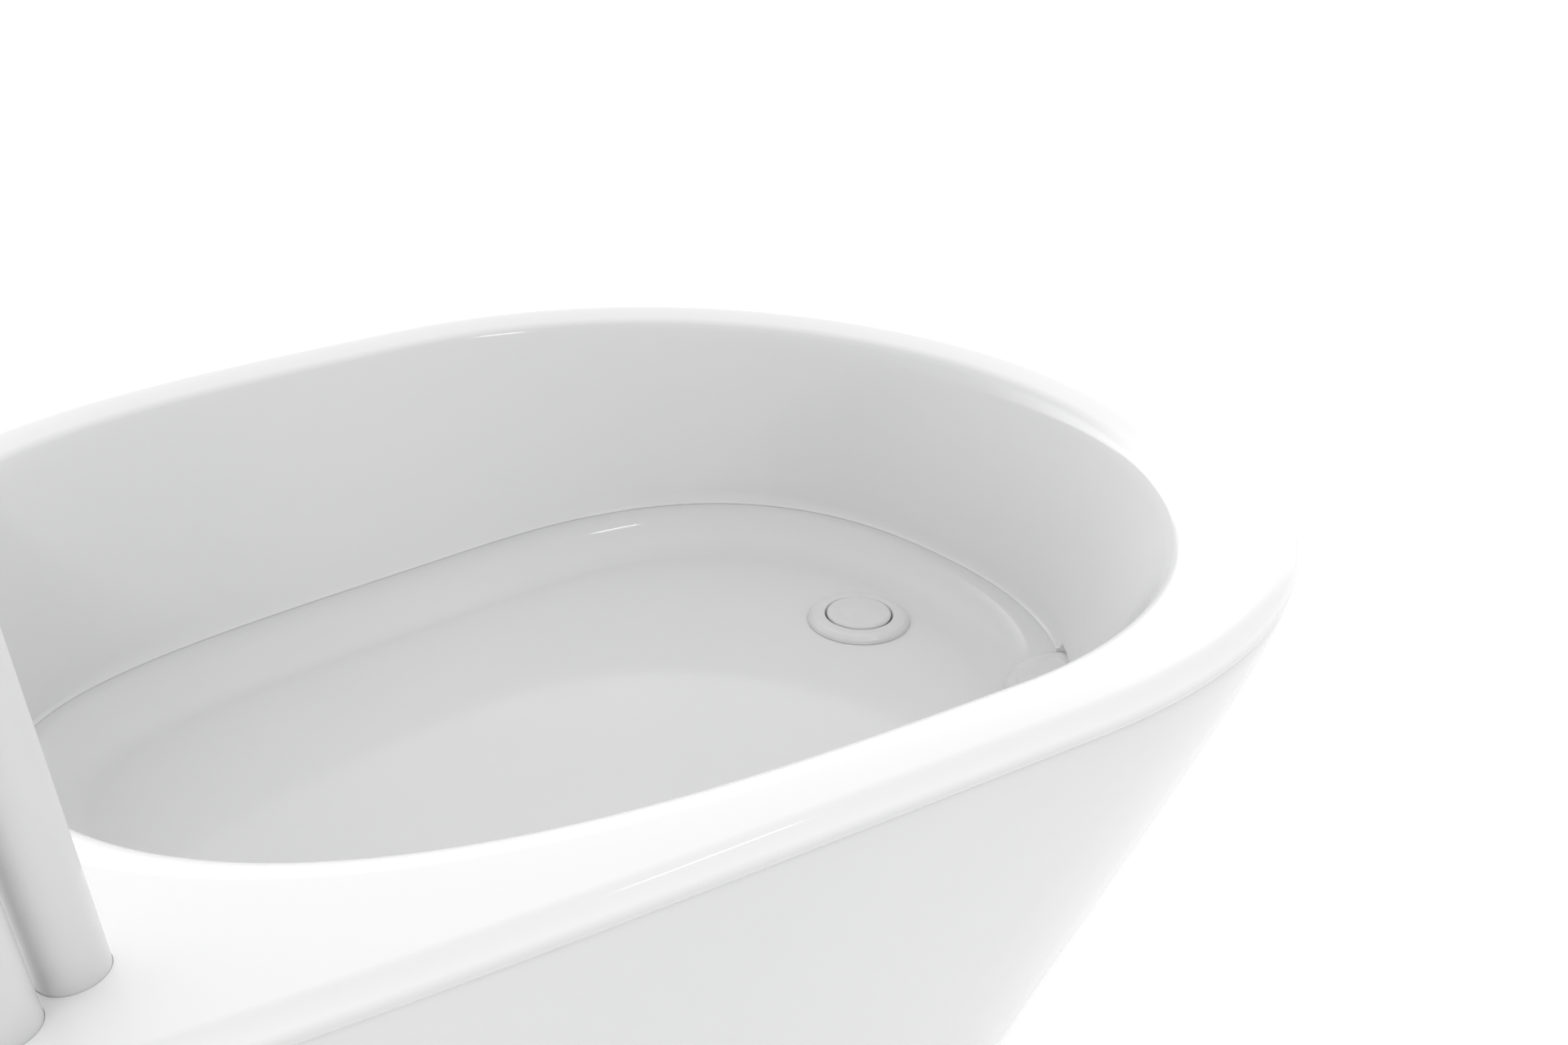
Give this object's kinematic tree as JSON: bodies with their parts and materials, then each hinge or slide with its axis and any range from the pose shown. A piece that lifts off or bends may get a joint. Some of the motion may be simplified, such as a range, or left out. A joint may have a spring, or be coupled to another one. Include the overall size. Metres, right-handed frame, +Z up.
{
  "type": "pet bathtub",
  "caption": "Small free-standing grooming bathtub with a wide tap-end deck, a sliding tether rack on two posts, a lift-up waste and levelling feet under a tapered skirt.",
  "frame": {"origin": "on the ground, under the middle of the tub's length and width", "axes": "+X towards the round end, the wide deck is at -X; +Y away from the tether rack; +Z up"},
  "size_m": [0.817, 0.6054, 0.7793],
  "materials": {
    "white_acrylic": "gloss",
    "white_powder_coat": "satin",
    "knob_plastic": "matt",
    "drain_plastic": "gloss",
    "trap_plastic": "satin",
    "stainless_steel": "brushed",
    "frame_paint": "satin",
    "baseboard_wood": "raw",
    "black_rubber": "matt"
  },
  "bodies": {
    "tub": {"basin": "white_acrylic", "outer_skirt": "white_acrylic", "post_inner": "white_powder_coat", "post_outer": "white_powder_coat", "post_bridge": "white_powder_coat", "post_clamp_block": "stainless_steel", "grub_screw_inner": "stainless_steel", "grub_screw_outer": "stainless_steel", "drain_seal_upper": "black_rubber", "drain_flange": "drain_plastic", "drain_seal_lower": "black_rubber", "drain_nut": "drain_plastic", "drain_strainer": "stainless_steel", "trap_head": "trap_plastic", "trap_cup": "trap_plastic", "trap_outlet": "trap_plastic", "blanking_cap": "drain_plastic", "blanking_nut": "trap_plastic", "baseboard": "baseboard_wood", "rail_near": "frame_paint", "rail_far": "frame_paint", "cross_bar_deck": "frame_paint", "cross_bar_round": "frame_paint", "leg_1": "frame_paint", "leg_insert_1": "trap_plastic", "lock_nut_1": "stainless_steel", "foot_pad_1": "black_rubber", "leg_2": "frame_paint", "leg_insert_2": "trap_plastic", "lock_nut_2": "stainless_steel", "foot_pad_2": "black_rubber", "leg_3": "frame_paint", "leg_insert_3": "trap_plastic", "lock_nut_3": "stainless_steel", "foot_pad_3": "black_rubber", "leg_4": "frame_paint", "leg_insert_4": "trap_plastic", "lock_nut_4": "stainless_steel", "foot_pad_4": "black_rubber"},
    "plug": {"drain_plug": "drain_plastic"},
    "carriage": {"tether_carriage": "white_powder_coat"},
    "knob": {"clamp_knob": "knob_plastic"},
    "ring": {"tether_ring": "stainless_steel"},
    "foot_1": {"foot_stud_1": "stainless_steel"},
    "foot_2": {"foot_stud_2": "stainless_steel"},
    "foot_3": {"foot_stud_3": "stainless_steel"},
    "foot_4": {"foot_stud_4": "stainless_steel"}
  },
  "joints": [
    {"name": "plug_lift", "type": "slide", "parent": "tub", "child": "plug", "axis": [0, 0, 1], "range_m": [0, 0.01]},
    {"name": "carriage_slide", "type": "slide", "parent": "tub", "child": "carriage", "axis": [0, 0, 1], "range_m": [-0.165, 0.06]},
    {"name": "clamp_knob_turn", "type": "hinge", "parent": "carriage", "child": "knob", "pos_m": [-0.24919, -0.22951, 0.684], "axis": [-0.8744, -0.4852, 0], "range_deg": [0, 270]},
    {"name": "tether_ring_swing", "type": "hinge", "parent": "carriage", "child": "ring", "pos_m": [-0.24256, -0.19999, 0.684], "axis": [0.8744, 0.4852, 0], "range_deg": [-10, 190]},
    {"name": "foot_1_turn", "type": "hinge", "parent": "tub", "child": "foot_1", "pos_m": [-0.1595, -0.1, 0.04], "axis": [0, 0, 1], "range_deg": [-180, 180]},
    {"name": "foot_2_turn", "type": "hinge", "parent": "tub", "child": "foot_2", "pos_m": [-0.1595, 0.1, 0.04], "axis": [0, 0, 1], "range_deg": [-180, 180]},
    {"name": "foot_3_turn", "type": "hinge", "parent": "tub", "child": "foot_3", "pos_m": [0.1755, -0.1, 0.04], "axis": [0, 0, 1], "range_deg": [-180, 180]},
    {"name": "foot_4_turn", "type": "hinge", "parent": "tub", "child": "foot_4", "pos_m": [0.1755, 0.1, 0.04], "axis": [0, 0, 1], "range_deg": [-180, 180]}
  ]
}
